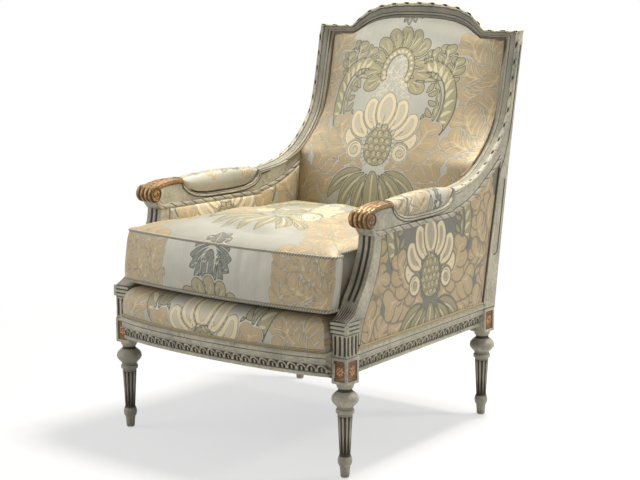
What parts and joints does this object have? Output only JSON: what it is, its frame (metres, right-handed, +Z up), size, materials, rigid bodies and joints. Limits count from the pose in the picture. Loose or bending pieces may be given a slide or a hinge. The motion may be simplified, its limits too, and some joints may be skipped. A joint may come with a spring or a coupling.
{
  "type": "upholstered armchair",
  "caption": "Closed-sided armchair with a carved painted frame, scrolled arms, an arched padded back and a loose T-shaped seat cushion, for sitting.",
  "frame": {"origin": "on the floor under the middle of the whole chair's bounding box", "axes": "+Z up, the seat faces -Y, +X is the right side as seen from the front"},
  "size_m": [0.768, 0.9188, 1.091],
  "materials": {
    "painted_wood": "aged grey-white paint with dark glaze, rubbed gilding on the arms",
    "bare_wood": "bare planed hardwood",
    "damask": "silvery satin damask with tan scrolls and olive palmettes",
    "webbing": "woven jute",
    "bottom_lining": "black cambric",
    "glide_steel": "plain pressed steel"
  },
  "bodies": {
    "frame": {"front_leg_right": "painted_wood", "front_leg_left": "painted_wood", "rear_leg_right": "painted_wood", "rear_leg_left": "painted_wood", "arm_stump_right": "painted_wood", "arm_stump_left": "painted_wood", "arm_right": "painted_wood", "arm_left": "painted_wood", "crest_rail": "painted_wood", "front_rail": "painted_wood", "side_rail_right": "painted_wood", "side_rail_left": "painted_wood", "rear_rail": "painted_wood", "lower_back_rail": "bare_wood", "front_corner_block_right": "bare_wood", "front_corner_block_left": "bare_wood", "rear_corner_block_right": "bare_wood", "rear_corner_block_left": "bare_wood", "seat_deck": "damask", "inside_back": "damask", "outside_back": "damask", "inside_arm_right": "damask", "inside_arm_left": "damask", "outside_arm_right": "damask", "outside_arm_left": "damask", "arm_pad_right": "damask", "arm_pad_left": "damask", "webbing_long_1": "webbing", "webbing_long_2": "webbing", "webbing_long_3": "webbing", "webbing_long_4": "webbing", "webbing_long_5": "webbing", "webbing_cross_1": "webbing", "webbing_cross_2": "webbing", "webbing_cross_3": "webbing", "webbing_cross_4": "webbing", "webbing_cross_5": "webbing", "dust_cover": "bottom_lining", "front_glide_right": "glide_steel", "front_glide_left": "glide_steel", "rear_glide_right": "glide_steel", "rear_glide_left": "glide_steel"},
    "cushion": {"seat_cushion": "damask"}
  },
  "joints": [
    {"name": "cushion_lift", "type": "slide", "parent": "frame", "child": "cushion", "axis": [0, 0, 1], "range_m": [0, 0.35]}
  ]
}
